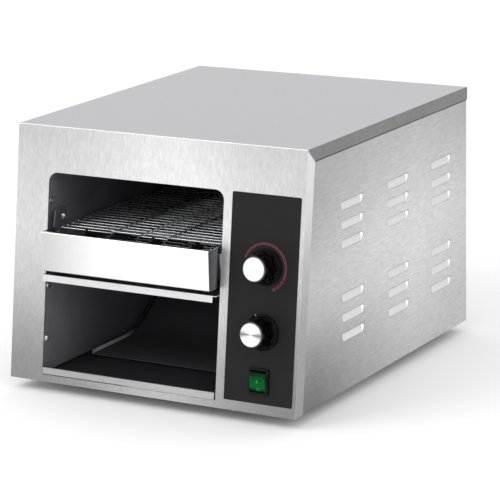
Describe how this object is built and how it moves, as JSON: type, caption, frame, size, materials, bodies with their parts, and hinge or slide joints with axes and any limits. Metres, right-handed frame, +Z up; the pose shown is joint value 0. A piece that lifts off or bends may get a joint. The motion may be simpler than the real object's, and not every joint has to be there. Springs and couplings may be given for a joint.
{
  "type": "conveyor toaster",
  "caption": "Countertop conveyor toaster in brushed steel with a slanted front, a wire belt, a return chute, a crumb tray, two knobs and a green rocker switch.",
  "frame": {"origin": "middle of the footprint, on the plane under the rubber feet", "axes": "+X to the right seen from the front, +Y to the rear, +Z up; the slanted front with the window and knobs faces -Y"},
  "size_m": [0.43, 0.5428, 0.35],
  "materials": {
    "stainless": "brushed",
    "stainless_bright": "polished",
    "chamber_steel": "heat darkened",
    "zinc_steel": "plain",
    "screw_steel": "bright",
    "belt_wire": "bright",
    "sprocket_steel": "machined",
    "bush_brass": "plain",
    "chain_steel": "oiled",
    "motor_paint": "satin",
    "panel_black": "satin",
    "knob_black": "gloss",
    "knob_cap": "spun",
    "control_grey": "plain",
    "switch_black": "gloss",
    "rocker_green": "gloss",
    "rubber": "matt",
    "ceramic": "unglazed",
    "quartz": "clear",
    "heater_coil": "wound",
    "board_green": "plain",
    "terminal_white": "plain",
    "gland_black": "plain"
  },
  "bodies": {
    "case": {"front_panel": "stainless", "top_cover": "stainless", "left_side_panel": "stainless", "right_side_panel": "stainless", "rear_panel": "zinc_steel", "base_plate": "zinc_steel", "rear_screws": "screw_steel", "foot_screws": "screw_steel", "rubber_feet": "rubber", "left_chamber_wall": "chamber_steel", "right_chamber_wall": "chamber_steel", "chamber_roof": "chamber_steel", "chamber_back": "chamber_steel", "upper_reflector": "stainless_bright", "upper_heater_tubes": "quartz", "upper_heater_coils": "heater_coil", "upper_heater_caps": "ceramic", "lower_heater_tubes": "quartz", "lower_heater_coils": "heater_coil", "lower_heater_caps": "ceramic", "feed_apron": "stainless_bright", "idler_bracket": "chamber_steel", "crumb_shelf": "stainless", "toast_chute": "stainless", "tray_runners": "zinc_steel", "window_screws": "screw_steel", "conveyor_belt": "belt_wire", "shaft_bushes": "bush_brass", "drive_chain": "chain_steel", "gear_motor": "motor_paint", "motor_plate": "zinc_steel", "motor_posts": "zinc_steel", "control_panel": "panel_black", "speed_control": "control_grey", "heat_control": "control_grey", "switch_body": "switch_black", "speed_board": "board_green", "board_posts": "zinc_steel", "terminal_block": "terminal_white", "cord_gland": "gland_black", "gland_nut": "gland_black"},
    "tray": {"crumb_tray": "stainless_bright"},
    "drive": {"drive_shaft": "sprocket_steel", "drive_sprockets": "sprocket_steel", "drive_shaft_rings": "sprocket_steel", "chain_wheel": "sprocket_steel"},
    "idler": {"idler_shaft": "sprocket_steel", "idler_sprockets": "sprocket_steel", "idler_shaft_ring": "sprocket_steel"},
    "pinion": {"motor_pinion": "sprocket_steel"},
    "speed": {"speed_knob": "knob_black", "speed_knob_cap": "knob_cap", "speed_spindle": "zinc_steel"},
    "heat": {"heat_knob": "knob_black", "heat_knob_cap": "knob_cap", "heat_spindle": "zinc_steel"},
    "rocker": {"power_rocker": "rocker_green"}
  },
  "joints": [
    {"name": "drive_turn", "type": "hinge", "parent": "case", "child": "drive", "pos_m": [0, 0.12643, 0.19911], "axis": [-1, 0, 0], "continuous": true, "deforming": ["conveyor_belt", "drive_chain"]},
    {"name": "idler_turn", "type": "hinge", "parent": "case", "child": "idler", "pos_m": [0, -0.21157, 0.19911], "axis": [-1, 0, 0], "continuous": true},
    {"name": "pinion_turn", "type": "hinge", "parent": "case", "child": "pinion", "pos_m": [0.115, 0.07133, 0.13345], "axis": [-1, 0, 0], "continuous": true},
    {"name": "tray_slide", "type": "slide", "parent": "case", "child": "tray", "axis": [0, -1, 0], "range_m": [0, 0.25]},
    {"name": "speed_knob_turn", "type": "hinge", "parent": "case", "child": "speed", "pos_m": [0.163, -0.24254, 0.20233], "axis": [0, -0.9911, 0.1331], "range_deg": [-270, 0]},
    {"name": "heat_knob_turn", "type": "hinge", "parent": "case", "child": "heat", "pos_m": [0.163, -0.25352, 0.12057], "axis": [0, -0.9911, 0.1331], "range_deg": [-180, 0]},
    {"name": "rocker_tip", "type": "hinge", "parent": "case", "child": "rocker", "pos_m": [0.1618, -0.24301, 0.05609], "axis": [1, 0, 0], "range_deg": [-22, 0]}
  ],
  "couplings": [
    {"joint": "idler_turn", "follows": "drive_turn", "ratio": 1},
    {"joint": "pinion_turn", "follows": "drive_turn", "ratio": 1}
  ]
}
